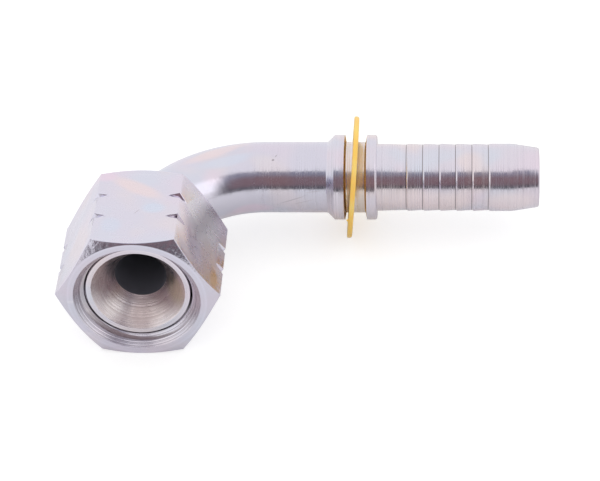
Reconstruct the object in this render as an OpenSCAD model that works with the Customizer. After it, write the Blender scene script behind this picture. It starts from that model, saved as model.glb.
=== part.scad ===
// Swept 90 degree hose fitting with a loose swivel nut, for a hose with a 12.7 mm (1/2 inch) bore.
// It lies on a table as it comes to rest: on one flat of the nut and on the rim of the plastic disc.
// The tail runs along +X and the nut faces -Y. The origin is the middle of its footprint, on the table.

/* [Tube] */
// Outside diameter of the tube, which is also the floor of the groove between the collars
tube_d = 14; // [13.6:0.1:14.6]
// Diameter of the passage that runs right through the stem
bore_d = 9.8; // [8:0.2:10.4]
// Radius of the bend, measured to the tube's centre line
bend_r = 22; // [21:0.5:26]
// Straight tube between the bend and the back of the head
neck_l = 7; // [7:0.5:10]

/* [Head] */
// Length of the head's round wall, behind the sealing seat
head_l = 5.1; // [4:0.1:6.5]
// Width of the flat rim round the sealing seat
rim_w = 1; // [0.5:0.1:1.4]
// Chamfer on the outside of that rim
rim_edge = 0.1; // [0.1:0.1:0.4]
// Half angle of the conical sealing seat, in degrees
seat_angle = 37; // [30:1:45]
// Radial gap between the head and the nut's thread crests
head_gap = 0.35; // [0.3:0.05:0.6]

/* [Collars] */
// Height of the two collars above the tube
collar_h = 1.4; // [1.2:0.1:1.8]
// Distance from the elbow's corner to the first collar
collar_x = 35.6; // [34:0.1:42]
// Width of the first collar
collar_1_w = 2; // [1.6:0.1:3]
// Width of the groove between the collars, at its top
groove_w = 4.35; // [4.2:0.05:6]
// How far each wall of the groove leans from its top to its floor
groove_slope = 0.25; // [0:0.05:0.3]
// Width of the second collar
collar_2_w = 2; // [1.6:0.1:3]
// Chamfer on the second collar, on the hose side
collar_edge = 0.3; // [0.1:0.1:0.6]

/* [Hose tail] */
// Diameter of the tail over its barbs
tail_d = 13.3; // [12.9:0.1:13.5]
// Plain length behind the first barb
tail_land_l = 5.85; // [3:0.05:8]
// Number of barbs
barb_count = 5; // [3:1:7]
// Length of one barb
barb_pitch = 3.22; // [2.5:0.02:4]
// Height of a barb's step
barb_step = 0.18; // [0.1:0.02:0.3]
// Plain length in front of the last barb
end_land_l = 4.6; // [3:0.1:8]
// Length of the lead-in taper
taper_l = 5.3; // [4:0.1:8]
// Diameter at the small end of the lead-in taper
tip_d = 11.7; // [11.5:0.1:12.3]
// Radius of the rounded corner at the tip
tip_round = 0.7; // [0.3:0.1:0.7]
// Chamfer inside the tip
tip_bevel = 0.15; // [0.05:0.05:0.2]

/* [Swivel nut] */
// Wall between the thread and the flats, for a hexagon of 27 mm across flats
nut_wall = 2.3875; // [2.1875:0.05:2.7875]
// Length of the nut
nut_l = 22.3; // [21:0.1:23]
// How far inside the flats the chamfer leaves the round end faces
face_drop = 0.3; // [0.1:0.1:0.6]
// Angle of the corner chamfers, in degrees
chamfer_angle = 30; // [15:5:45]
// Major diameter of the thread: 7/8-14 UNF
thread_d = 22.225; // [21.9:0.05:22.6]
// Pitch of the thread
thread_pitch = 1.814; // [1.5:0.1:2]
// Length of the relief behind the thread
relief_l = 2.5; // [1.5:0.25:3.5]
// Depth of the relief below the thread
relief_h = 0.25; // [0.1:0.05:0.4]
// Length of the lead-in chamfer at the mouth
mouth_l = 1.75; // [1:0.05:1.9]
// Length of the hole that the tube passes through
back_hole_l = 4.2; // [3.6:0.1:5]
// Radial gap between that hole and the tube
back_gap = 1.6; // [1.6:0.05:1.8]
// Depth of the two grooves round the nut's corners
ring_h = 1.3; // [0.8:0.05:1.6]
// Half angle of those grooves, in degrees
ring_angle = 30; // [30:5:55]
// Distance from the nut's back face to the first groove
ring_z = 7.9; // [6:0.1:9]
// Distance between the two grooves
ring_gap = 6.1; // [4:0.1:7]
// How far the nut, slid back, reaches over the bend
bend_cover = 5.1; // [3:0.1:5.4]

/* [Disc] */
// Outside diameter of the plastic disc
disc_d = 24.1; // [24:0.1:26]
// Thickness of the plastic disc
disc_t = 1; // [0.7:0.1:1.1]
// Radial gap between the disc and the floor of the groove
disc_gap = 0.35; // [0.3:0.05:0.6]
// Lean of the disc away from square, in degrees
disc_lean = 4.5; // [0:0.5:4.5]
// How far the disc has slid from the middle of the groove towards the bend
disc_slide = 0.6; // [0:0.05:0.65]

/* [Hidden] */
$fn = 96;
over = 1;             // how far a cutting tool runs past the face it opens

// Radii and places inside the nut
crest_r = (thread_d - 0.95 * thread_pitch) / 2;
relief_r = thread_d / 2 + relief_h;
back_hole_r = tube_d / 2 + back_gap;
hex_af = thread_d + 2 * nut_wall;
nut_r = hex_af / sqrt(3);

// Places along the head, from the elbow's corner
head_r = crest_r - head_gap;
head_x = bend_r + neck_l + head_r - tube_d / 2;
rim_x = head_x + head_l;
seat_r = head_r - rim_w;
seat_l = (seat_r - bore_d / 2) / tan(seat_angle);

// Places along the tail, from the elbow's corner
collar_r = tube_d / 2 + collar_h;
groove_x = collar_x + collar_1_w;
collar_2_x = groove_x + groove_w;
tail_x = collar_2_x + collar_2_w;
barb_x = tail_x + tail_land_l;
end_land_x = barb_x + barb_count * barb_pitch;
taper_x = end_land_x + end_land_l;
tip_x = taper_x + taper_l;
disc_x = groove_x + groove_w / 2 - disc_slide;

// At rest the nut lies on a flat, and the middle of the head is level with the nut's middle.
// The stem leans inside the nut until the disc's rim meets the table, or sooner if the tube
// would come too near the edge of the hole in the nut's back.
nut_z = hex_af / 2;
pivot_x = head_x + head_l / 2;
disc_z = disc_d / 2 * cos(disc_lean) + disc_t / 2 * sin(disc_lean);
back_x = bend_r - bend_cover;
disc_stop = asin((nut_z - disc_z) / pivot_x);
nut_stop = asin(back_gap / 2 / (pivot_x - back_x));
stem_lean = min(disc_stop, nut_stop);
tail_z = nut_z - pivot_x * sin(stem_lean);
mouth_y = back_x + nut_l;
mid_x = (tip_x - nut_r) / 2;
mid_y = (disc_d / 2 - mouth_y) / 2;

// Puts a shape that is drawn round the elbow's corner where it lies on the table
module at_rest() {
    translate([-mid_x, -mid_y, 0]) children();
}

// Turns a shape that is drawn along +Z so that it runs along the tail
module along_tail() {
    rotate([0, 90, 0]) children();
}

// Turns a shape that is drawn along +Z so that it runs towards the nut's mouth
module along_head() {
    rotate([90, 0, 0]) children();
}

// The bend, round its own centre
module bend(d) {
    rotate([0, 0, 90])
        rotate_extrude(angle = 90)
            translate([bend_r, 0])
                circle(d = d);
}

// Turns a shape that is drawn along +Z so that it runs from the bend's end along the tail
module tail_from_bend() {
    translate([0, bend_r, 0]) along_tail() children();
}

// Turns a shape that is drawn along +Z so that it runs from the bend's other end along the head
module head_from_bend() {
    translate([-bend_r, 0, 0]) along_head() children();
}

// Measures an outline from the bend's end instead of the elbow's corner. It then starts at exactly
// 0 and meets the bend at every bend radius, where an outline that started at bend_r is rounded a
// little and at some radii left a hair's gap.
function from_bend(points) = [for (p = points) [p[0], p[1] - bend_r]];

// Outline of the collars, the barbs and the tip, as radius and distance from the corner
module tail_outline() {
    tube_r = tube_d / 2;
    tail_r = tail_d / 2;
    barbs = [for (i = [0 : barb_count - 1], step = [barb_step, 0])
        [tail_r - step, barb_x + i * barb_pitch]];
    round_start = 90 - atan((tail_r - tip_d / 2) / taper_l);
    round_steps = 5;
    tip_corner = [for (i = [0 : round_steps])
        let (a = round_start * (1 - i / round_steps))
        [tip_d / 2 - tip_round * (1 - sin(a)), tip_x - tip_round * (1 - cos(a))]];
    polygon(from_bend(concat(
        [[0, bend_r],
         [tube_r, bend_r],
         [tube_r, collar_x - collar_h],
         [collar_r, collar_x],
         [collar_r, groove_x],
         [tube_r, groove_x + groove_slope],
         [tube_r, collar_2_x - groove_slope],
         [collar_r, collar_2_x],
         [collar_r, tail_x - collar_edge],
         [collar_r - collar_edge, tail_x],
         [tail_r, tail_x]],
        barbs,
        [[tail_r - barb_step, end_land_x],
         [tail_r, end_land_x],
         [tail_r, taper_x]],
        tip_corner,
        [[0, tip_x]])));
}

// Outline of the neck and the head with its 45 degree back
module head_outline() {
    polygon(from_bend([
        [0, bend_r],
        [tube_d / 2, bend_r],
        [tube_d / 2, bend_r + neck_l],
        [head_r, head_x],
        [head_r, rim_x - rim_edge],
        [head_r - rim_edge, rim_x],
        [0, rim_x]]));
}

// The way through: the tail's bore, the bend, the head's bore and the conical seat
module passage() {
    bend(bore_d);
    tail_from_bend() {
        cylinder(d = bore_d, h = tip_x - bend_r + over);
        translate([0, 0, tip_x - bend_r - tip_bevel])
            cylinder(d1 = bore_d, d2 = bore_d + 2 * (tip_bevel + over), h = tip_bevel + over);
    }
    head_from_bend() {
        cylinder(d = bore_d, h = rim_x - bend_r + over);
        translate([0, 0, rim_x - bend_r - seat_l])
            cylinder(d1 = bore_d, d2 = 2 * (seat_r + over * tan(seat_angle)), h = seat_l + over);
    }
}

module stem() {
    color([0.84, 0.83, 0.87])
        at_rest() translate([0, 0, tail_z]) rotate([-stem_lean, 0, 0]) translate([bend_r, -bend_r, 0])
            difference() {
                union() {
                    bend(tube_d);
                    tail_from_bend() rotate_extrude() tail_outline();
                    head_from_bend() rotate_extrude() head_outline();
                }
                passage();
            }
}

// The round shape that trims the hexagon: both chamfers and the two grooves
module nut_trim() {
    far_r = nut_r + over;
    face_r = hex_af / 2 - face_drop;
    chamfer_l = (far_r - face_r) * tan(chamfer_angle);
    ring_l = (ring_h + over) * tan(ring_angle);
    rings = [for (z = [ring_z, ring_z + ring_gap], side = [-1, 0, 1])
        [side == 0 ? nut_r - ring_h : far_r, z + side * ring_l]];
    rotate_extrude()
        polygon(concat(
            [[0, 0], [face_r, 0], [far_r, chamfer_l]],
            rings,
            [[far_r, nut_l - chamfer_l], [face_r, nut_l], [0, nut_l]]));
}

// The hole for the tube, the shoulder that stops the head, the relief and the bore at the crests
module nut_bore() {
    shoulder_z = back_hole_l + relief_r - back_hole_r;
    relief_z = shoulder_z + relief_l;
    rotate_extrude()
        polygon([
            [0, -over],
            [back_hole_r, -over],
            [back_hole_r, back_hole_l],
            [relief_r, shoulder_z],
            [relief_r, relief_z],
            [crest_r, relief_z + relief_r - crest_r],
            [crest_r, nut_l - mouth_l],
            [crest_r + mouth_l + over, nut_l + over],
            [0, nut_l + over]]);
}

module swivel_nut() {
    color([0.80, 0.79, 0.83])
        at_rest() translate([0, nut_l - mouth_y, nut_z]) along_head()
            difference() {
                intersection() {
                    cylinder(r = nut_r, h = nut_l, $fn = 6);
                    nut_trim();
                }
                nut_bore();
            }
}

module plastic_disc() {
    color([0.98, 0.76, 0.16])
        at_rest() translate([disc_x, 0, tail_z]) rotate([0, disc_lean, 0]) along_tail()
            translate([0, 0, -disc_t / 2])
                difference() {
                    cylinder(d = disc_d, h = disc_t);
                    translate([0, 0, -over]) cylinder(d = tube_d + 2 * disc_gap, h = disc_t + 2 * over);
                }
}

stem();
swivel_nut();
plastic_disc();
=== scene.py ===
import math

import bpy
from mathutils import Matrix, Vector


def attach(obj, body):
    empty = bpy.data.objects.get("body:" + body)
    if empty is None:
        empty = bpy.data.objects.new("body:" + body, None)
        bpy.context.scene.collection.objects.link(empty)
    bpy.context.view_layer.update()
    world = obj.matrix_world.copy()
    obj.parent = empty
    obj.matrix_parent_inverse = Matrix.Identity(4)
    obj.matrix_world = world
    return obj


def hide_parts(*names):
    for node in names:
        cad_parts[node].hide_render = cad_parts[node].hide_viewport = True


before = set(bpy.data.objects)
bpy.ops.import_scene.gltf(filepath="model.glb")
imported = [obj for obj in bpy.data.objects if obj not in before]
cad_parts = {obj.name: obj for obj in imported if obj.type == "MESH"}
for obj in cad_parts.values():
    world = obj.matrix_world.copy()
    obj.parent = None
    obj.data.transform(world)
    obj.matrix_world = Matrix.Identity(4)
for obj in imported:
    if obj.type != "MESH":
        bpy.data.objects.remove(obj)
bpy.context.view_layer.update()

# The stem: one length of mild steel, turned at both ends, swept through 90 degrees and zinc plated.
# It runs from the coned sealing seat, round the bend and over the two collars to the barbed tail.
# It is drawn in millimetres round the elbow's corner, tail along +X, then laid down as the CAD has it.

MM = 0.001
CORNER = Vector((-0.0301058, 0.013575, 0.0120521))
STEM_LEAN = math.radians(2.40876)

TUBE_R, BORE_R, BEND_R = 7.0, 4.9, 22.0
NECK_END, HEAD_START, RIM_X = 29.0, 31.9008, 37.0008
HEAD_R, SEAT_R, SEAT_L, RIM_EDGE = 9.9008, 8.9008, 5.3093, 0.1
COLLAR_1, GROOVE, COLLAR_2, TAIL_X = 35.6, 37.6, 41.95, 43.95
COLLAR_R, COLLAR_H, COLLAR_EDGE, GROOVE_SLOPE = 8.4, 1.4, 0.3, 0.25
TAIL_R, BARB_X, BARB_PITCH, BARBS, BARB_STEP = 6.65, 49.8, 3.22, 5, 0.18
BARB_SLOPE = 0.3
TAPER_X, TIP_X, TIP_R, TIP_ROUND, TIP_BEVEL = 70.5, 75.8, 5.85, 0.7, 0.15
AROUND, BEND_STEPS = 144, 56


def deselect_everything():
    bpy.ops.object.select_all(action="DESELECT")


def soften(outline, roundings):
    """The outline with some corners rounded: roundings gives a radius by the corner's place in the list."""
    points = []
    for i, corner in enumerate(outline):
        radius = roundings.get(i, 0)
        if not radius:
            points.append(corner)
            continue
        c, a, b = Vector(corner), Vector(outline[i - 1]), Vector(outline[i + 1])
        to_a, to_b = (a - c).normalized(), (b - c).normalized()
        half = to_a.angle(to_b) / 2
        reach = min(radius / math.tan(half), (a - c).length * 0.45, (b - c).length * 0.45)
        centre = c + (to_a + to_b).normalized() * (reach / math.cos(half))
        first, last = c + to_a * reach - centre, c + to_b * reach - centre
        points += [tuple(centre + first.slerp(last, k / 3) * first.length) for k in range(4)]
    return points


def along_x(points, radius_now, x_now):
    """Draws the selected ring on along +X or -X, through (radius, x) points."""
    for radius, x in points:
        bpy.ops.mesh.extrude_region_move(TRANSFORM_OT_translate={"value": (x - x_now, 0, 0)})
        k = radius / radius_now
        bpy.ops.transform.resize(value=(1, k, k), center_override=(x, 0, 0))
        radius_now, x_now = radius, x


def along_y(points, radius_now, y_now):
    """Draws the selected ring on along the head, through (radius, y) points."""
    for radius, y in points:
        bpy.ops.mesh.extrude_region_move(TRANSFORM_OT_translate={"value": (0, y - y_now, 0)})
        k = radius / radius_now
        bpy.ops.transform.resize(value=(k, 1, k), center_override=(0, y, 0))
        radius_now, y_now = radius, y


def lay_in_place(piece, place, smooth_below=22):
    """Takes a piece drawn in millimetres to metres at its place, with its place in its mesh."""
    deselect_everything()
    piece.select_set(True)
    bpy.context.view_layer.objects.active = piece
    piece.matrix_world = place @ Matrix.Diagonal((MM, MM, MM, 1))
    bpy.ops.object.transform_apply(location=True, rotation=True, scale=True)
    bpy.ops.object.shade_smooth_by_angle(angle=math.radians(smooth_below))


def put(tree, socket, value):
    """Gives a socket another node's output, or a plain value."""
    if isinstance(value, bpy.types.NodeSocket):
        tree.links.new(value, socket)
    else:
        socket.default_value = value


def reckon(tree, operation, *values):
    node = tree.nodes.new("ShaderNodeMath")
    node.operation = operation
    for socket, value in zip(node.inputs, values):
        put(tree, socket, value)
    return node.outputs[0]


def reckon_vector(tree, operation, *values, output=0):
    node = tree.nodes.new("ShaderNodeVectorMath")
    node.operation = operation
    sockets = node.inputs[:2] if operation != "SCALE" else (node.inputs[0], node.inputs["Scale"])
    for socket, value in zip(sockets, values):
        put(tree, socket, value)
    return node.outputs[output]


def ramp(tree, value, low, high, to_low=0.0, to_high=1.0):
    """Takes low..high to to_low..to_high, smoothly and with both ends held."""
    node = tree.nodes.new("ShaderNodeMapRange")
    node.interpolation_type = "SMOOTHSTEP"
    for name, number in (("Value", value), ("From Min", low), ("From Max", high),
                         ("To Min", to_low), ("To Max", to_high)):
        put(tree, node.inputs[name], number)
    return node.outputs[0]


def blend_colour(tree, share, under, over):
    node = tree.nodes.new("ShaderNodeMix")
    node.data_type = "RGBA"
    for socket, value in zip((node.inputs[0], node.inputs[6], node.inputs[7]), (share, under, over)):
        put(tree, socket, value)
    return node.outputs[2]


def cloud(tree, position, scale, detail=2.0, dimensions="3D"):
    """Noise from 0 to 1, over a position or along one distance."""
    node = tree.nodes.new("ShaderNodeTexNoise")
    node.noise_dimensions = dimensions
    put(tree, node.inputs["W" if dimensions == "1D" else "Vector"], position)
    node.inputs["Scale"].default_value = scale
    node.inputs["Detail"].default_value = detail
    return node.outputs[0]


def soft_patch(tree, position, place, turn, size):
    """1 in the middle of a soft oval patch and 0 outside it."""
    inside = tree.nodes.new("ShaderNodeMapping")
    inside.vector_type = "TEXTURE"
    inside.inputs["Location"].default_value = place
    inside.inputs["Rotation"].default_value = turn
    inside.inputs["Scale"].default_value = size
    put(tree, inside.inputs["Vector"], position)
    return ramp(tree, reckon_vector(tree, "LENGTH", inside.outputs[0], output=1), 0.4, 1.0, 1.0, 0.0)


def start_group(name, inputs, outputs):
    """An empty node group with named sockets, and its input and output nodes."""
    group = bpy.data.node_groups.new(name, "ShaderNodeTree")
    for label, kind, value in inputs:
        socket = group.interface.new_socket(name=label, in_out="INPUT", socket_type="NodeSocket" + kind)
        socket.default_value = value
    for label, kind in outputs:
        group.interface.new_socket(name=label, in_out="OUTPUT", socket_type="NodeSocket" + kind)
    return group, group.nodes.new("NodeGroupInput"), group.nodes.new("NodeGroupOutput")


def use_group(tree, group, **values):
    node = tree.nodes.new("ShaderNodeGroup")
    node.node_tree = group
    for label, value in values.items():
        put(tree, node.inputs[label], value)
    return node.outputs


# Zinc passivation: the thin film shines in pale pink, blue and gold patches
blush, given, out = start_group(
    "passivation_blush",
    (("Position", "Vector", (0, 0, 0)), ("Metal", "Color", (0.74, 0.69, 0.77, 1)), ("Strength", "Float", 1.0)),
    (("Colour", "Color"),))
tint = given.outputs["Metal"]
for shift, size, low, high, film in (
        ((0.0, 0.0, 0.0), 95, 0.42, 0.68, (0.84, 0.68, 0.78, 1)),
        ((0.3, 0.1, 0.7), 120, 0.45, 0.70, (0.66, 0.74, 0.84, 1)),
        ((0.9, 0.5, 0.2), 105, 0.50, 0.72, (0.88, 0.73, 0.69, 1))):
    moved = reckon_vector(blush, "ADD", given.outputs["Position"], shift)
    patch = ramp(blush, cloud(blush, moved, size, 1.5), low, high)
    tint = blend_colour(blush, reckon(blush, "MULTIPLY", patch, given.outputs["Strength"]), tint, film)
put(blush, out.inputs["Colour"], tint)

# Turning: rings left by the tool, across the face and along the axis of the lathe
turning, given, out = start_group(
    "lathe_rings",
    (("Position", "Vector", (0, 0, 0)), ("Centre", "Vector", (0, 0, 0)), ("Axis", "Vector", (1, 0, 0)),
     ("Pitch", "Float", 0.0003)),
    (("Height", "Float"), ("Tone", "Float")))
offset = reckon_vector(turning, "SUBTRACT", given.outputs["Position"], given.outputs["Centre"])
length = reckon_vector(turning, "DOT_PRODUCT", offset, given.outputs["Axis"], output=1)
foot = reckon_vector(turning, "SCALE", given.outputs["Axis"], length)
radius = reckon_vector(turning, "LENGTH", reckon_vector(turning, "SUBTRACT", offset, foot), output=1)
RADIUS_SHARE = 0.63
travel = reckon(turning, "DIVIDE", reckon(turning, "MULTIPLY_ADD", radius, RADIUS_SHARE, length), given.outputs["Pitch"])
fine = cloud(turning, travel, 1.0, 1.0, "1D")
broad = cloud(turning, travel, 0.21, 1.0, "1D")
put(turning, out.inputs["Height"], reckon(turning, "MULTIPLY_ADD", broad, 0.5, reckon(turning, "MULTIPLY", fine, 0.5)))
put(turning, out.inputs["Tone"], ramp(turning, reckon(turning, "MULTIPLY_ADD", broad, 0.3,
                                                       reckon(turning, "MULTIPLY", fine, 0.7)), 0.3, 0.72))

# Handling: short light scratches and a few dark pits
handling, given, out = start_group(
    "handling_marks",
    (("Position", "Vector", (0, 0, 0)), ("Length", "Vector", (120, 1500, 500))),
    (("Scratch", "Float"), ("Pit", "Float")))
drawn_out = reckon_vector(handling, "MULTIPLY", given.outputs["Position"], given.outputs["Length"])
put(handling, out.inputs["Scratch"], ramp(handling, cloud(handling, drawn_out, 1.0, 0.5), 0.74, 0.82))
cells = handling.nodes.new("ShaderNodeTexVoronoi")
put(handling, cells.inputs["Vector"], given.outputs["Position"])
cells.inputs["Scale"].default_value = 330
rare = ramp(handling, reckon(handling, "FRACT", reckon(handling, "MULTIPLY", cells.outputs["Color"], 7.3)), 0.93, 0.96)
near = ramp(handling, cells.outputs["Distance"], 0.10, 0.22, 1.0, 0.0)
put(handling, out.inputs["Pit"], reckon(handling, "MULTIPLY", rare, near))


def thin_bands(tree, along, first, step, count, width):
    """1 on thin bands that repeat along a distance and 0 between them."""
    steps = reckon(tree, "DIVIDE", reckon(tree, "SUBTRACT", along, first), step)
    nearest = reckon(tree, "MINIMUM", reckon(tree, "MAXIMUM", reckon(tree, "ROUND", steps), 0.0), count - 1.0)
    away = reckon(tree, "MULTIPLY", reckon(tree, "ABSOLUTE", reckon(tree, "SUBTRACT", steps, nearest)), step)
    return ramp(tree, away, width * 0.25, width * 0.6, 1.0, 0.0)


def plated(name, metal, rings, film, rough, grain, scratch=0.25, stains_and_painted_light=(), rings_from=None, painted_dark_lines=None):
    """A zinc plated surface. rings: centre, axis, pitch, depth, shade and its colour. rough: the polished
    value and what the rings add. grain: size and depth. stains_and_painted_light: place, turn, size,
    colour and share of each patch; the patches are real stains, pits and grazes, and painted
    highlights, painted reflections and painted shade.
    rings_from: where along X the rings start and are full, and how much rougher the metal is before them.
    painted_dark_lines: first X, step, count, width, colour, share of thin dark lines of painted shade
    and painted reflection."""
    material = bpy.data.materials.new(name)
    material.use_nodes = True
    tree = material.node_tree
    shader = tree.nodes["Principled BSDF"]
    position = tree.nodes.new("ShaderNodeTexCoord").outputs["Object"]
    centre, axis, pitch, ring_depth, ring_shade, shade_colour = rings
    turned = use_group(tree, turning, Position=position, Centre=centre, Axis=axis, Pitch=pitch)
    tone, ring_height, bend_rough = turned["Tone"], turned["Height"], 0.0
    parts = tree.nodes.new("ShaderNodeSeparateXYZ")
    put(tree, parts.inputs[0], position)
    if rings_from:
        reach = ramp(tree, parts.outputs["X"], rings_from[0], rings_from[1])
        bend_rough = reckon(tree, "MULTIPLY", reckon(tree, "SUBTRACT", 1.0, reach), rings_from[2])
        tone = reckon(tree, "MULTIPLY", tone, reach)
        ring_height = reckon(tree, "MULTIPLY", ring_height, reach)
    marks = use_group(tree, handling, Position=position)
    grains = cloud(tree, position, grain[0], 3.0)
    colour = use_group(tree, blush, Position=position, Metal=(*metal, 1), Strength=film)["Colour"]
    # Patches: real stains, pits and grazes, and on some pieces painted highlights, reflections and shade.
    for place, turn, size, patch_colour, share in stains_and_painted_light:
        spot = soft_patch(tree, position, place, turn, size)
        colour = blend_colour(tree, reckon(tree, "MULTIPLY", spot, share), colour, (*patch_colour, 1))
    colour = blend_colour(tree, reckon(tree, "MULTIPLY", tone, ring_shade), colour, (*shade_colour, 1))
    # Painted dark lines: painted shade at the barbs' feet, and a painted reflection on the groove's walls.
    if painted_dark_lines:
        first, step, count, width, shade, share = painted_dark_lines
        lines = thin_bands(tree, parts.outputs["X"], first, step, count, width)
        colour = blend_colour(tree, reckon(tree, "MULTIPLY", lines, share), colour, (*shade, 1))
    colour = blend_colour(tree, reckon(tree, "MULTIPLY", marks["Scratch"], scratch), colour, (0.95, 0.93, 0.96, 1))
    colour = blend_colour(tree, reckon(tree, "MULTIPLY", marks["Pit"], scratch), colour, (0.22, 0.19, 0.20, 1))
    put(tree, shader.inputs["Base Color"], colour)
    worn = ramp(tree, grains, 0.25, 0.75, rough[0] - 0.03, rough[0] + 0.04)
    worn = reckon(tree, "ADD", worn, bend_rough)
    put(tree, shader.inputs["Roughness"], reckon(tree, "MULTIPLY_ADD", tone, rough[1], worn))
    shader.inputs["Metallic"].default_value = 1.0
    bump = tree.nodes.new("ShaderNodeBump")
    bump.inputs["Distance"].default_value = MM
    put(tree, bump.inputs["Height"],
        reckon(tree, "MULTIPLY_ADD", ring_height, ring_depth, reckon(tree, "MULTIPLY", grains, grain[1])))
    put(tree, shader.inputs["Normal"], bump.outputs["Normal"])
    return material


deselect_everything()
bpy.ops.mesh.primitive_circle_add(
    vertices=AROUND, radius=BORE_R, location=(TIP_X - TIP_BEVEL, 0, 0), rotation=(0, math.radians(90), 0))
stem = bpy.context.object
stem.name = "turned_stem"
bpy.ops.object.transform_apply(location=True, rotation=True, scale=True)
bpy.ops.object.mode_set(mode="EDIT")
bpy.ops.mesh.select_all(action="SELECT")

tail = [(BORE_R, TIP_X - TIP_BEVEL), (BORE_R + TIP_BEVEL, TIP_X), (TIP_R, TIP_X), (TAIL_R, TAPER_X)]
corners = {2: TIP_ROUND, 3: 3.0}
for i in range(BARBS, -1, -1):
    x = BARB_X + i * BARB_PITCH
    corners[len(tail)] = 0.05
    tail += [(TAIL_R, x + BARB_SLOPE), (TAIL_R - BARB_STEP, x)]
tail += [(TAIL_R, TAIL_X)]
corners[len(tail) - 1] = 0.12
for radius, x, r in (
        (COLLAR_R - COLLAR_EDGE, TAIL_X, 0.06), (COLLAR_R, TAIL_X - COLLAR_EDGE, 0.06),
        (COLLAR_R, COLLAR_2, 0.06), (TUBE_R, COLLAR_2 - GROOVE_SLOPE, 0.12),
        (TUBE_R, GROOVE + GROOVE_SLOPE, 0.12), (COLLAR_R, GROOVE, 0.06),
        (COLLAR_R, COLLAR_1, 0.1), (TUBE_R, COLLAR_1 - COLLAR_H, 0.5)):
    corners[len(tail)] = r
    tail.append((radius, x))
tail.append((TUBE_R, BEND_R))
tail = soften(tail, corners)
along_x(tail[1:], tail[0][0], tail[0][1])
bpy.ops.mesh.spin(steps=BEND_STEPS, angle=math.radians(-90), center=(BEND_R, -BEND_R, 0), axis=(0, 0, 1))
head = [(TUBE_R, -BEND_R), (TUBE_R, -NECK_END), (HEAD_R, -HEAD_START), (HEAD_R, -RIM_X + RIM_EDGE),
        (HEAD_R - RIM_EDGE, -RIM_X), (SEAT_R, -RIM_X), (BORE_R, -RIM_X + SEAT_L), (BORE_R, -BEND_R)]
head = soften(head, {1: 0.6, 2: 0.15, 3: 0.04, 4: 0.04, 5: 0.05, 6: 0.08})
along_y(head[1:], head[0][0], head[0][1])
bpy.ops.mesh.spin(steps=BEND_STEPS, angle=math.radians(90), center=(BEND_R, -BEND_R, 0), axis=(0, 0, 1))
along_x([(BORE_R, TIP_X - TIP_BEVEL)], BORE_R, BEND_R)
bpy.ops.mesh.select_all(action="SELECT")
bpy.ops.mesh.remove_doubles(threshold=0.001)
bpy.ops.mesh.normals_make_consistent(inside=False)
bpy.ops.object.mode_set(mode="OBJECT")

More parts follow.
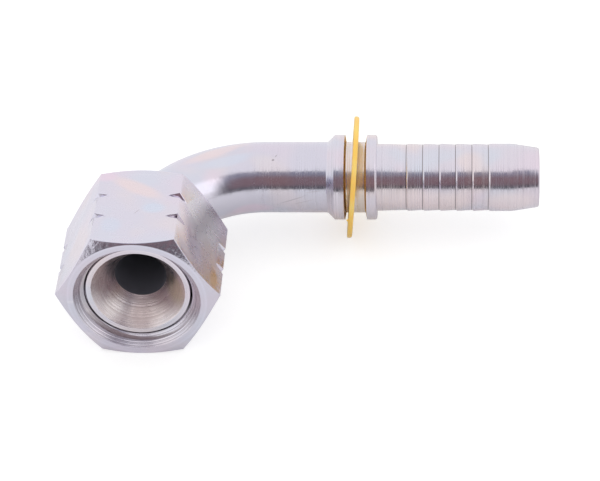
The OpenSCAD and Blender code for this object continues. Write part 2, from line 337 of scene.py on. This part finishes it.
HEAD_AXIS = Vector((0, -math.cos(STEM_LEAN), math.sin(STEM_LEAN)))
TAIL_AXIS = (1, 0, 0)
PIT, GRAZE = (0.30, 0.27, 0.29), (0.56, 0.52, 0.58)
PEACH, PINK, SKY, DISC_REFLECTION_BROWN = (0.87, 0.72, 0.73), (0.88, 0.68, 0.80), (0.66, 0.74, 0.88), (0.50, 0.34, 0.17)
# TABLE_REFLECTION_PINK is a painted reflection of the bright table, for the tail's front below the dark stripe.
TABLE_REFLECTION_PINK = (0.92, 0.80, 0.82)
# STEPS_X places thin lines of painted shade at the foot of each barb's step; WALLS_X places painted brown lines on the
# groove's walls.
STEPS_X, WALLS_X = CORNER.x + (BARB_X - 0.08) * MM, CORNER.x + GROOVE * MM
stem_looks = (
    plated("zinc_on_drawn_tube", (0.69, 0.67, 0.77),
           (CORNER, TAIL_AXIS, 0.00020, 0.010, 0.15, (0.55, 0.51, 0.60)), 0.30, (0.10, 0.18), (800, 0.02), 0.25,
           (((-0.0215, 0.0160, 0.0175), (0, 0, 0.60), (0.0080, 0.0012, 0.006), PINK, 0.7),
            ((-0.0178, 0.0124, 0.0180), (0, 0, 0.56), (0.0095, 0.0020, 0.006), PEACH, 0.65),
            ((-0.0155, 0.0100, 0.0180), (0, 0, 0.40), (0.0070, 0.0016, 0.006), SKY, 0.45),
            ((-0.0190, 0.0070, 0.0150), (0, 0, 0.60), (0.0060, 0.0030, 0.004), PINK, 0.85),
            ((-0.0110, 0.0072, 0.0095), (0, 0, 0.10), (0.0060, 0.0030, 0.0020), PINK, 0.45),
            ((-0.00642, 0.01078, 0.01850), (0, 0, 0.3), (0.00034, 0.00026, 0.001), PIT, 0.8),
            ((-0.00586, 0.01166, 0.01880), (0, 0, 0.9), (0.00045, 0.00016, 0.001), PIT, 0.5),
            ((-0.00265, 0.0067, 0.01185), (0, -0.36, 0), (0.0036, 0.002, 0.00016), GRAZE, 0.9),
            ((-0.0005, 0.0066, 0.01130), (0, -0.30, 0), (0.0030, 0.002, 0.00012), GRAZE, 0.7),
            ((0.00150, 0.0068, 0.01370), (0, -0.12, 0), (0.0020, 0.002, 0.00010), GRAZE, 0.7)),
           (-0.018, -0.004, 0.10)),
    plated("zinc_on_turned_tail", (0.75, 0.70, 0.78),
           (CORNER, TAIL_AXIS, 0.00020, 0.014, 0.26, (0.56, 0.52, 0.60)), 0.5, (0.09, 0.26), (700, 0.015), 0.25,
           # Painted highlights: two pure white spots in the dark stripe, at a barb's crest and on the taper near the
           # tip. Painted reflection: two pale pink patches that lighten the tail's front below the stripe.
           (((0.04454, 0.0073, 0.0151), (0, 0, 0), (0.00035, 0.002, 0.00022), (1, 1, 1), 1.0),
            ((0.03290, 0.0072, 0.0149), (0, 0, 0), (0.00030, 0.002, 0.00018), (1, 1, 1), 0.9),
            ((0.0240, 0.0070, 0.0106), (0, 0, 0), (0.0110, 0.004, 0.0038), TABLE_REFLECTION_PINK, 0.7),
            ((0.0400, 0.0072, 0.0106), (0, 0, 0), (0.0070, 0.004, 0.0038), TABLE_REFLECTION_PINK, 0.7)),
           # The dark lines at the barbs' feet are painted shade.
           None, (STEPS_X, BARB_PITCH * MM, BARBS + 1, 0.00020, (0.22, 0.19, 0.21), 0.8)),
    plated("zinc_on_groove_floor", (0.86, 0.81, 0.83),
           (CORNER, TAIL_AXIS, 0.00032, 0.03, 0.55, (0.62, 0.49, 0.34)), 0.3, (0.16, 0.12), (700, 0.02), 0.25,
           # A dull pink patch on the groove's lower front is painted shade.
           (((0.0097, 0.0068, 0.0108), (0, 0, 0), (0.004, 0.004, 0.0040), (0.68, 0.60, 0.56), 0.6),),
           # The brown lines on the groove's walls are a painted reflection of the yellow disc.
           None, (WALLS_X, (COLLAR_2 - GROOVE) * MM, 2, 0.0009, DISC_REFLECTION_BROWN, 0.9)),
    plated("zinc_on_seat", (0.86, 0.77, 0.78),
           (CORNER, HEAD_AXIS, 0.00022, 0.03, 0.55, (0.48, 0.38, 0.36)), 0.3, (0.24, 0.12), (700, 0.02), 0.25,
           # Painted light on the seat: the two near-white patches on its left are painted highlights and the dull pink
           # patch at its bottom is painted shade; the yellowish patch lies on its right.
           (((-0.0235, -0.0215, 0.0125), (0, 0, 0), (0.003, 0.006, 0.004), (0.72, 0.66, 0.36), 0.5),
            ((-0.0301, -0.0205, 0.0058), (0, 0, 0), (0.003, 0.006, 0.003), (0.66, 0.53, 0.53), 0.6),
            ((-0.0352, -0.0205, 0.0085), (0, 0, 0), (0.003, 0.006, 0.003), (0.98, 0.93, 0.93), 0.7),
            ((-0.0375, -0.0215, 0.0145), (0, 0, 0), (0.003, 0.006, 0.004), (0.98, 0.94, 0.93), 0.6))),
    plated("zinc_on_rim", (0.84, 0.80, 0.88),
           (CORNER, HEAD_AXIS, 0.0003, 0.012, 0.25, (0.50, 0.47, 0.54)), 0.4, (0.20, 0.08), (700, 0.02)),
)
bore_metal = bpy.data.materials.new("dull_steel_inside_bore")
bore_metal.use_nodes = True
tree = bore_metal.node_tree
place = tree.nodes.new("ShaderNodeTexCoord").outputs["Object"]
scale_patch = cloud(tree, place, 260, 3.0)
shader = tree.nodes["Principled BSDF"]
put(tree, shader.inputs["Base Color"], blend_colour(tree, scale_patch, (0.11, 0.11, 0.135, 1), (0.18, 0.18, 0.215, 1)))
put(tree, shader.inputs["Roughness"], ramp(tree, scale_patch, 0.3, 0.7, 0.55, 0.75))
shader.inputs["Metallic"].default_value = 0.3
for look in stem_looks + (bore_metal,):
    stem.data.materials.append(look)
TUBE, TAIL, FLOOR, SEAT, RIM, BORE = range(6)
for face in stem.data.polygons:
    c = face.center
    from_tail, from_head = math.hypot(c.y, c.z), math.hypot(c.x, c.z)
    from_bend = math.hypot(math.hypot(c.x - BEND_R, c.y + BEND_R) - BEND_R, c.z)
    straight_tail, straight_head = c.x > BEND_R, c.y < -BEND_R
    depth = from_tail if straight_tail else from_head if straight_head else from_bend
    if depth < BORE_R + 0.02:
        face.material_index = BORE
    elif straight_tail and GROOVE - 0.1 < c.x < COLLAR_2 + 0.1 and depth < COLLAR_R - 0.2:
        face.material_index = FLOOR
    elif straight_tail and c.x > COLLAR_1 - COLLAR_H:
        face.material_index = TAIL
    elif straight_head and c.y < -NECK_END:
        face.material_index = RIM if depth > SEAT_R - 0.02 else SEAT
lay_in_place(stem, Matrix.Translation(CORNER) @ Matrix.Rotation(-STEM_LEAN, 4, "X"))
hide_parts("stem")
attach(stem, "stem")

# The swivel nut: a hexagonal bar of steel, 27 mm across flats, drilled, threaded and zinc plated.
# It turns loosely on the stem's head. Its corners carry two V-grooves and are chamfered at both ends.

HEX_AF, NUT_L, MOUTH_Y, NUT_Z = 27.0, 22.3, 39.2, 0.0135
FACE_DROP, CHAMFER = 0.3, math.radians(30)
RING_H, RING_ANGLE, RING_Z, RING_GAP = 1.3, math.radians(30), 7.9, 6.1
THREAD_R, PITCH, RELIEF_R, BACK_R = 11.1125, 1.814, 11.3625, 8.6
CREST_R, BACK_L, RELIEF_L = 10.2509, 4.2, 2.5
MOUTH_R, MOUTH_L = 12.0, 2.15
RING_ROUND = 0.25
NUT_STEPS = 192


def turn_on_lathe(name, outline):
    """A solid turned round Z, drawn ring by ring along its outline of (radius, height) points."""
    deselect_everything()
    radius, height = outline[0]
    bpy.ops.mesh.primitive_circle_add(
        vertices=NUT_STEPS, radius=radius, fill_type="NGON", location=(0, 0, height))
    piece = bpy.context.object
    piece.name = name
    bpy.ops.object.mode_set(mode="EDIT")
    for next_radius, next_height in outline[1:]:
        bpy.ops.mesh.extrude_region_move(TRANSFORM_OT_translate={"value": (0, 0, next_height - height)})
        k = next_radius / radius
        bpy.ops.transform.resize(value=(k, k, 1), center_override=(0, 0, next_height))
        radius, height = next_radius, next_height
    bpy.ops.mesh.select_all(action="SELECT")
    bpy.ops.mesh.normals_make_consistent(inside=False)
    bpy.ops.object.mode_set(mode="OBJECT")
    bpy.ops.object.transform_apply(location=True, rotation=True, scale=True)
    return piece


def combine(piece, tool, operation):
    """Cuts the piece with the tool, or keeps what they share, and takes the tool away."""
    deselect_everything()
    bpy.context.view_layer.objects.active = piece
    piece.select_set(True)
    cut = piece.modifiers.new("cut", "BOOLEAN")
    cut.operation = operation
    cut.solver = "EXACT"
    cut.object = tool
    bpy.ops.object.modifier_apply(modifier="cut")
    bpy.data.objects.remove(tool)


deselect_everything()
nut_r = HEX_AF / math.sqrt(3)
bpy.ops.mesh.primitive_cylinder_add(
    vertices=6, radius=nut_r, depth=NUT_L, location=(0, 0, NUT_L / 2), rotation=(0, 0, math.radians(90)))
nut = bpy.context.object
nut.name = "hex_nut"
bpy.ops.object.transform_apply(location=True, rotation=True, scale=True)
over = 1.0
face_r, far_r = HEX_AF / 2 - FACE_DROP, nut_r + over
chamfer_l = (far_r - face_r) * math.tan(CHAMFER)
ring_l = (RING_H + over) * math.tan(RING_ANGLE)
outline = [(face_r, 0), (far_r, chamfer_l)]
for z in (RING_Z, RING_Z + RING_GAP):
    outline += [(far_r, z - ring_l), (nut_r - RING_H, z), (far_r, z + ring_l)]
outline += [(far_r, NUT_L - chamfer_l), (face_r, NUT_L)]
combine(nut, turn_on_lathe("corner_turning", soften(outline, {3: RING_ROUND, 6: RING_ROUND})), "INTERSECT")

# The corners, the chamfers' arcs and the rims of the end faces lose their sharp edge in plating
deselect_everything()
nut.select_set(True)
bpy.context.view_layer.objects.active = nut
bpy.ops.object.mode_set(mode="EDIT")
bpy.ops.mesh.select_mode(type="EDGE")
bpy.ops.mesh.select_all(action="DESELECT")
bpy.ops.mesh.edges_select_sharp(sharpness=math.radians(20))
bpy.ops.object.mode_set(mode="OBJECT")
RING_REACH = 1.3
for edge in nut.data.edges:
    a, b = (nut.data.vertices[i].co for i in edge.vertices)
    z = (a.z + b.z) / 2
    near_ring = min(abs(z - RING_Z), abs(z - RING_Z - RING_GAP)) < RING_REACH
    along = abs(a.z - b.z) > 0.8
    if near_ring and not along:
        edge.select = False
bpy.ops.object.mode_set(mode="EDIT")
bpy.ops.mesh.bevel(offset=0.1, segments=2, profile=0.5, clamp_overlap=False)
bpy.ops.object.mode_set(mode="OBJECT")

shoulder_z = BACK_L + RELIEF_R - BACK_R
relief_z = shoulder_z + RELIEF_L
combine(nut, turn_on_lathe("drill_and_bore", [
    (BACK_R + 0.25 + over, -over), (BACK_R, 0.25), (BACK_R, BACK_L), (RELIEF_R, shoulder_z),
    (RELIEF_R, relief_z), (CREST_R, relief_z + RELIEF_R - CREST_R), (CREST_R, NUT_L - MOUTH_L),
    (MOUTH_R, NUT_L), (MOUTH_R + over, NUT_L + over)]), "DIFFERENCE")

inner_r = CREST_R - 0.15
half_root = PITCH / 16
half_inner = half_root + (THREAD_R - inner_r) * math.tan(math.radians(30))
deselect_everything()
bpy.ops.mesh.primitive_plane_add(size=1, location=(CREST_R, 0, 0), rotation=(math.radians(90), 0, 0))
tooth = bpy.context.object
tooth.name = "thread_tap"
bpy.ops.object.transform_apply(location=True, rotation=True, scale=True)
for corner in tooth.data.vertices:
    outer = corner.co.x > CREST_R
    reach = half_root if outer else half_inner
    corner.co = (THREAD_R if outer else inner_r, 0, math.copysign(reach, corner.co.z))
bpy.ops.object.mode_set(mode="EDIT")
bpy.ops.mesh.select_all(action="SELECT")
bpy.ops.mesh.delete(type="ONLY_FACE")
bpy.ops.object.mode_set(mode="OBJECT")
screw = tooth.modifiers.new("turns", "SCREW")
screw.axis = "Z"
screw.screw_offset = PITCH
screw.iterations = 9
screw.steps = screw.render_steps = 96
bpy.ops.object.modifier_apply(modifier="turns")
bpy.ops.object.mode_set(mode="EDIT")
bpy.ops.mesh.select_all(action="DESELECT")
bpy.ops.mesh.select_mode(type="EDGE")
bpy.ops.mesh.select_non_manifold()
bpy.ops.mesh.edge_face_add()
bpy.ops.mesh.select_all(action="SELECT")
bpy.ops.mesh.normals_make_consistent(inside=False)
bpy.ops.object.mode_set(mode="OBJECT")
tooth.location.z = relief_z - 0.7
bpy.ops.object.transform_apply(location=True, rotation=True, scale=True)
combine(nut, tooth, "DIFFERENCE")

NUT_CENTRE, NUT_AXIS = (CORNER.x, 0, NUT_Z), (0, -1, 0)
GOLD, LIGHT_BROWN, GREY_GREEN = (0.80, 0.58, 0.32), (0.68, 0.58, 0.54), (0.82, 0.85, 0.85)
nut_looks = (
    plated("zinc_on_hexagon_flats", (0.73, 0.70, 0.80),
           (NUT_CENTRE, NUT_AXIS, 0.0006, 0.002, 0.05, (0.66, 0.62, 0.68)), 0.30, (0.27, 0.02), (420, 0.004), 0.08,
           (((-0.0305, -0.0090, 0.0270), (0, 0, -0.55), (0.0075, 0.0022, 0.003), PEACH, 0.75),
            ((-0.0370, -0.0055, 0.0270), (0, 0, 0), (0.003, 0.002, 0.003), PINK, 0.5),
            ((-0.0270, -0.0150, 0.0270), (0, 0, 0), (0.003, 0.002, 0.003), SKY, 0.6),
            ((-0.0345, -0.0200, 0.0270), (0, 0, 0.3), (0.0026, 0.003, 0.003), SKY, 0.4),
            ((-0.0300, -0.0161, 0.0270), (0, 0, 0.95), (0.0011, 0.00012, 0.001), GRAZE, 0.8),
            ((-0.0186, -0.0105, 0.0205), (0, 1.047, 0), (0.0075, 0.0100, 0.0025), GREY_GREEN, 0.75),
            ((-0.0158, -0.0222, 0.0158), (0, 0.5, 0), (0.0016, 0.0034, 0.0018), GOLD, 0.6),
            ((-0.0170, -0.0190, 0.0180), (0, 0.5, 0), (0.003, 0.007, 0.0036), LIGHT_BROWN, 0.5))),
    plated("zinc_on_turned_nut_faces", (0.76, 0.74, 0.86),
           (NUT_CENTRE, NUT_AXIS, 0.0003, 0.018, 0.2, (0.52, 0.48, 0.54)), 0.3, (0.14, 0.12), (700, 0.02)),
    plated("zinc_in_nut_thread", (0.80, 0.75, 0.80),
           (NUT_CENTRE, NUT_AXIS, 0.0002, 0.03, 0.8, (0.34, 0.29, 0.32)), 0.4, (0.34, 0.10), (700, 0.02)),
    plated("zinc_on_mouth_cone", (0.84, 0.81, 0.89),
           (NUT_CENTRE, NUT_AXIS, 0.00024, 0.03, 0.85, (0.34, 0.30, 0.36)), 0.35, (0.20, 0.12), (700, 0.02)),
    plated("zinc_on_corner_chamfer", (0.75, 0.73, 0.85),
           (NUT_CENTRE, NUT_AXIS, 0.0003, 0.018, 0.25, (0.52, 0.46, 0.50)), 0.3, (0.13, 0.10), (1500, 0.09), 0.4),
)
for look in nut_looks:
    nut.data.materials.append(look)
FLAT, TURNED, THREAD, CONE, CHAMFERED = range(5)
for face in nut.data.polygons:
    radius = math.hypot(face.center.x, face.center.y)
    outwards = (face.normal.x * face.center.x + face.normal.y * face.center.y) / max(radius, 1)
    face.material_index = TURNED
    if face.center.z > NUT_L - MOUTH_L - 0.1 and 0.6 < face.normal.z < 0.75 and outwards < 0:
        face.material_index = CONE
    elif radius < THREAD_R + 0.4 and abs(face.normal.z) < 0.95 and outwards < 0:
        face.material_index = THREAD
    elif abs(face.normal.z) < 0.02 and outwards > 0:
        face.material_index = FLAT
    elif 0.8 < face.normal.z < 0.9 and outwards > 0 and face.center.z > NUT_L - chamfer_l:
        face.material_index = CHAMFERED
lay_in_place(nut, Matrix.Translation((CORNER.x, CORNER.y - (MOUTH_Y - NUT_L) * MM, NUT_Z))
             @ Matrix.Rotation(math.radians(90), 4, "X"), 14)
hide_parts("swivel_nut")
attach(nut, "nut")

# The yellow disc: a thin moulded washer of soft plastic that sits loose in the groove between the
# collars. A small nib from the mould's gate stands on the side that faces the bend.

DISC_R, DISC_HOLE_R, DISC_T, DISC_X, DISC_LEAN = 12.05, 7.35, 1.0, 39.175, math.radians(4.5)
NIB_RING, NIB_H, NIB_ANGLE = 0.55, 0.35, math.radians(97.7)
deselect_everything()
bpy.ops.mesh.primitive_circle_add(
    vertices=AROUND, radius=DISC_HOLE_R, location=(0, 0, 0), rotation=(0, math.radians(90), 0))
disc = bpy.context.object
disc.name = "yellow_disc"
bpy.ops.object.transform_apply(location=True, rotation=True, scale=True)
bpy.ops.object.mode_set(mode="EDIT")
bpy.ops.mesh.select_all(action="SELECT")
half_t = DISC_T / 2
ring = soften([(DISC_HOLE_R, 0), (DISC_HOLE_R, half_t), (DISC_R, half_t), (DISC_R, -half_t),
               (DISC_R - NIB_RING, -half_t), (DISC_HOLE_R, -half_t), (DISC_HOLE_R, 0)],
              {1: 0.12, 2: 0.42, 3: 0.42, 5: 0.12})
along_x(ring[1:], DISC_HOLE_R, 0)
bpy.ops.mesh.select_all(action="SELECT")
bpy.ops.mesh.remove_doubles(threshold=0.001)
bpy.ops.mesh.normals_make_consistent(inside=False)
bpy.ops.mesh.select_all(action="DESELECT")
bpy.ops.mesh.select_mode(type="FACE")
bpy.ops.object.mode_set(mode="OBJECT")
nib_r = DISC_R - NIB_RING / 2 - 0.15
nib_place = Vector((-half_t, -nib_r * math.sin(NIB_ANGLE), nib_r * math.cos(NIB_ANGLE)))
nearest = min(disc.data.polygons, key=lambda face: (face.center - nib_place).length)
nearest.select = True
bpy.ops.object.mode_set(mode="EDIT")
bpy.ops.mesh.extrude_region_move(TRANSFORM_OT_translate={"value": (-NIB_H, 0, 0)})
bpy.ops.transform.resize(value=(1, 0.5, 0.5), center_override=tuple(nearest.center - Vector((NIB_H, 0, 0))))
bpy.ops.object.mode_set(mode="OBJECT")
lay_in_place(disc, Matrix.Translation(CORNER + Vector((DISC_X * MM, 0, 0))) @ Matrix.Rotation(DISC_LEAN, 4, "Y"))
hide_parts("plastic_disc")
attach(disc, "disc")

plastic = bpy.data.materials.new("yellow_moulded_plastic")
plastic.use_nodes = True
tree = plastic.node_tree
shader = tree.nodes["Principled BSDF"]
place = tree.nodes.new("ShaderNodeTexCoord").outputs["Object"]
flow = cloud(tree, place, 180, 3.0)
skin = cloud(tree, place, 1600, 2.0)
colour = blend_colour(tree, ramp(tree, flow, 0.35, 0.68), (1.0, 0.61, 0.12, 1), (1.0, 0.69, 0.19, 1))
put(tree, shader.inputs["Base Color"], colour)
put(tree, shader.inputs["Roughness"], ramp(tree, flow, 0.3, 0.7, 0.34, 0.46))
shader.inputs["Subsurface Weight"].default_value = 0.25
shader.inputs["Subsurface Radius"].default_value = (1.0, 0.5, 0.12)
shader.inputs["Subsurface Scale"].default_value = 0.0008
bump = tree.nodes.new("ShaderNodeBump")
bump.inputs["Distance"].default_value = MM
put(tree, bump.inputs["Height"], reckon(tree, "MULTIPLY", skin, 0.03))
put(tree, shader.inputs["Normal"], bump.outputs["Normal"])
disc.data.materials.append(plastic)

# The studio: a white table in a white room, with a soft box on the right.

world = bpy.data.worlds.new("white_room")
bpy.context.scene.world = world
world.use_nodes = True
world.node_tree.nodes["Background"].inputs["Color"].default_value = (1, 1, 1, 1)
world.node_tree.nodes["Background"].inputs["Strength"].default_value = 0.98

deselect_everything()
bpy.ops.mesh.primitive_plane_add(size=6, location=(0, 0, 0))
floor = bpy.context.object
floor.name = "white_table"
table_top = bpy.data.materials.new("white_table_top")
table_top.use_nodes = True
tree = table_top.node_tree
shader = tree.nodes["Principled BSDF"]
shader.inputs["Roughness"].default_value = 0.8
shader.inputs["Specular IOR Level"].default_value = 0.0
shader.inputs["Emission Color"].default_value = (1, 1, 1, 1)
path = tree.nodes.new("ShaderNodeLightPath")
mirrored = reckon(tree, "MAXIMUM", path.outputs["Is Glossy Ray"], path.outputs["Is Transmission Ray"])
SEEN_GLOW, NEAR_GLOW, FAR_GLOW = 0.55, 0.23, 0.36
parts = tree.nodes.new("ShaderNodeSeparateXYZ")
put(tree, parts.inputs[0], tree.nodes.new("ShaderNodeTexCoord").outputs["Object"])
# For rays mirrored off the metal the table glows with painted light, brighter behind and to the left, and in front,
# under the camera, it is painted dark: painted shade of the studio's side where the camera stands.
behind_left = ramp(tree, reckon(tree, "SUBTRACT", parts.outputs["Y"], parts.outputs["X"]),
                   0.02, 0.10, NEAR_GLOW, FAR_GLOW)
in_front = reckon(tree, "MULTIPLY", mirrored, ramp(tree, parts.outputs["Y"], -0.38, -0.22, 1.0, 0.0))
put(tree, shader.inputs["Base Color"],
    blend_colour(tree, in_front, (0.62, 0.62, 0.62, 1), (0.10, 0.095, 0.11, 1)))
put(tree, shader.inputs["Emission Strength"],
    reckon(tree, "MULTIPLY_ADD", path.outputs["Is Camera Ray"], SEEN_GLOW,
           reckon(tree, "MULTIPLY", reckon(tree, "SUBTRACT", mirrored, in_front), behind_left)))
floor.data.materials.append(table_top)

lamp_data = bpy.data.lights.new("soft_box", "AREA")
lamp_data.shape = "RECTANGLE"
lamp_data.size, lamp_data.size_y = 1.1, 0.9
lamp_data.energy = 1.2
lamp = bpy.data.objects.new("soft_box", lamp_data)
bpy.context.scene.collection.objects.link(lamp)
lamp.location = (1.21, -0.25, 0.80)
lamp.rotation_euler = (-lamp.location).to_track_quat("-Z", "Y").to_euler()

# The dark flag: a curved card round the camera's side, from the table up to the edge of the light. It
# draws the dark stripe along bright round metal, as the unlit side of a studio does.

FLAG_R, FLAG_TOP, FLAG_LEFT, FLAG_RIGHT = 1.4, math.radians(56), math.radians(-38), math.radians(57)
SOFT_LEFT, SOFT_RIGHT = 0.07, 0.24
deselect_everything()
bpy.ops.mesh.primitive_uv_sphere_add(segments=72, ring_count=36, radius=FLAG_R)
flag = bpy.context.object
flag.name = "dark_flag"
bpy.ops.object.mode_set(mode="EDIT")
bpy.ops.mesh.select_mode(type="FACE")
bpy.ops.mesh.select_all(action="DESELECT")
bpy.ops.object.mode_set(mode="OBJECT")
for face in flag.data.polygons:
    c = face.center
    rise, side = math.asin(c.z / c.length), math.atan2(c.x, -c.y)
    outside = side < FLAG_LEFT - SOFT_LEFT - 0.1 or side > FLAG_RIGHT + SOFT_RIGHT + 0.1
    face.select = outside or rise < 0 or rise > FLAG_TOP + 0.15
bpy.ops.object.mode_set(mode="EDIT")
bpy.ops.mesh.delete(type="FACE")
bpy.ops.object.mode_set(mode="OBJECT")
flag_cloth = bpy.data.materials.new("dark_flag_cloth")
flag_cloth.use_nodes = True
tree = flag_cloth.node_tree
tree.nodes.remove(tree.nodes["Principled BSDF"])
place = tree.nodes.new("ShaderNodeTexCoord").outputs["Object"]
parts = tree.nodes.new("ShaderNodeSeparateXYZ")
put(tree, parts.inputs[0], reckon_vector(tree, "NORMALIZE", place))
rise = reckon(tree, "ARCSINE", parts.outputs["Z"])
side = reckon(tree, "ARCTAN2", parts.outputs["X"], reckon(tree, "MULTIPLY", parts.outputs["Y"], -1.0))
cover = reckon(tree, "MULTIPLY", ramp(tree, rise, FLAG_TOP - 0.03, FLAG_TOP + 0.03, 1.0, 0.0),
               reckon(tree, "MULTIPLY", ramp(tree, side, FLAG_LEFT - SOFT_LEFT, FLAG_LEFT + SOFT_LEFT),
                      ramp(tree, side, FLAG_RIGHT - SOFT_RIGHT, FLAG_RIGHT + SOFT_RIGHT, 1.0, 0.0)))
across = ramp(tree, side, FLAG_RIGHT - 0.45, FLAG_RIGHT - 0.1, 1.0, 0.0)
middle = reckon(tree, "MULTIPLY", ramp(tree, rise, 0.08, 0.30),
                reckon(tree, "MULTIPLY", ramp(tree, rise, 0.6, 0.85, 1.0, 0.0), across))
edge = blend_colour(tree, ramp(tree, rise, 0.2, 0.8), (0.12, 0.115, 0.13, 1), (0.28, 0.28, 0.34, 1))
glow = tree.nodes.new("ShaderNodeEmission")
put(tree, glow.inputs["Color"], blend_colour(tree, middle, edge, (0.25, 0.17, 0.185, 1)))
clear = tree.nodes.new("ShaderNodeBsdfTransparent")
mixed = tree.nodes.new("ShaderNodeMixShader")
put(tree, mixed.inputs[0], cover)
put(tree, mixed.inputs[1], clear.outputs[0])
put(tree, mixed.inputs[2], glow.outputs[0])
put(tree, tree.nodes["Material Output"].inputs["Surface"], mixed.outputs[0])
flag.data.materials.append(flag_cloth)
flag.visible_camera = False
flag.visible_diffuse = False

# The camera looks down on the fitting from the nut's side.

camera_data = bpy.data.cameras.new("photo_camera")
camera = bpy.data.objects.new("photo_camera", camera_data)
bpy.context.scene.collection.objects.link(camera)
camera_data.lens = 154.643
camera_data.sensor_width = 36
camera.location = (0.029501, -0.389082, 0.325518)
camera.rotation_euler = (math.radians(50.743), math.radians(2.0971), math.radians(2.772))
bpy.context.scene.camera = camera
bpy.context.scene.view_settings.view_transform = "Standard"
